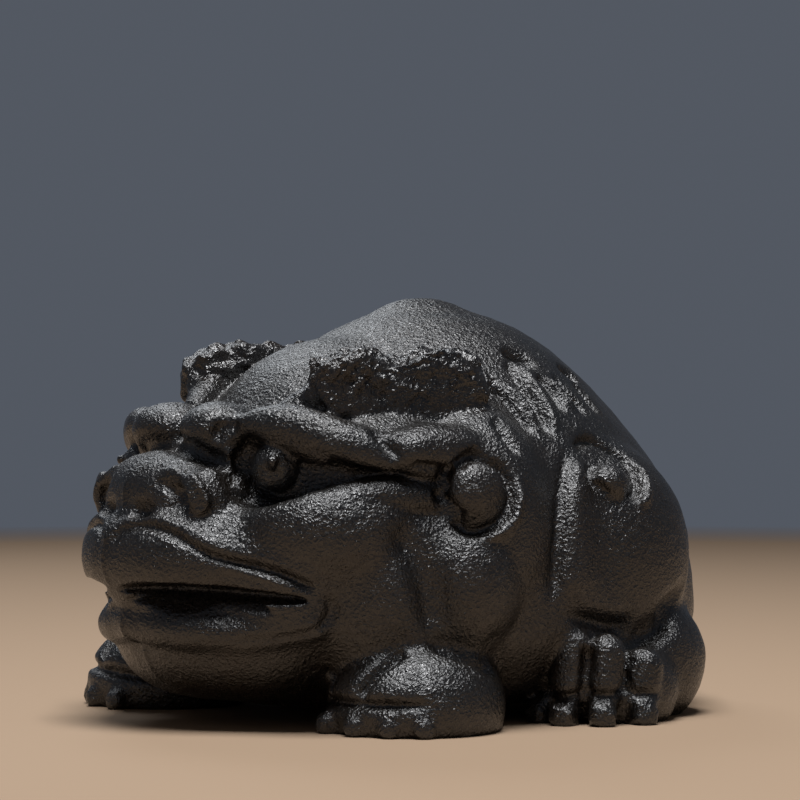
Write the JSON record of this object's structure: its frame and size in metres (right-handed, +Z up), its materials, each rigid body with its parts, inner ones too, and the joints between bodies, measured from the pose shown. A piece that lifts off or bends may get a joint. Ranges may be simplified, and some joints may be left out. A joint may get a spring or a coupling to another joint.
{
  "type": "tea pet figurine",
  "caption": "Crouching toad-faced guardian beast for a tea tray, carved in one piece of black unglazed clay with horns, brows, wide lips and flat-soled feet.",
  "frame": {"origin": "centre of the bounding box in plan, at the floor that the soles stand on", "axes": "the beast faces -Y, its left side is +X and +Z is up"},
  "size_m": [0.073, 0.089, 0.0542],
  "materials": {
    "black_clay": "unglazed black clay with a fine, grainy, satin skin"
  },
  "bodies": {
    "root": {"tea_pet": "black_clay"}
  },
  "joints": []
}
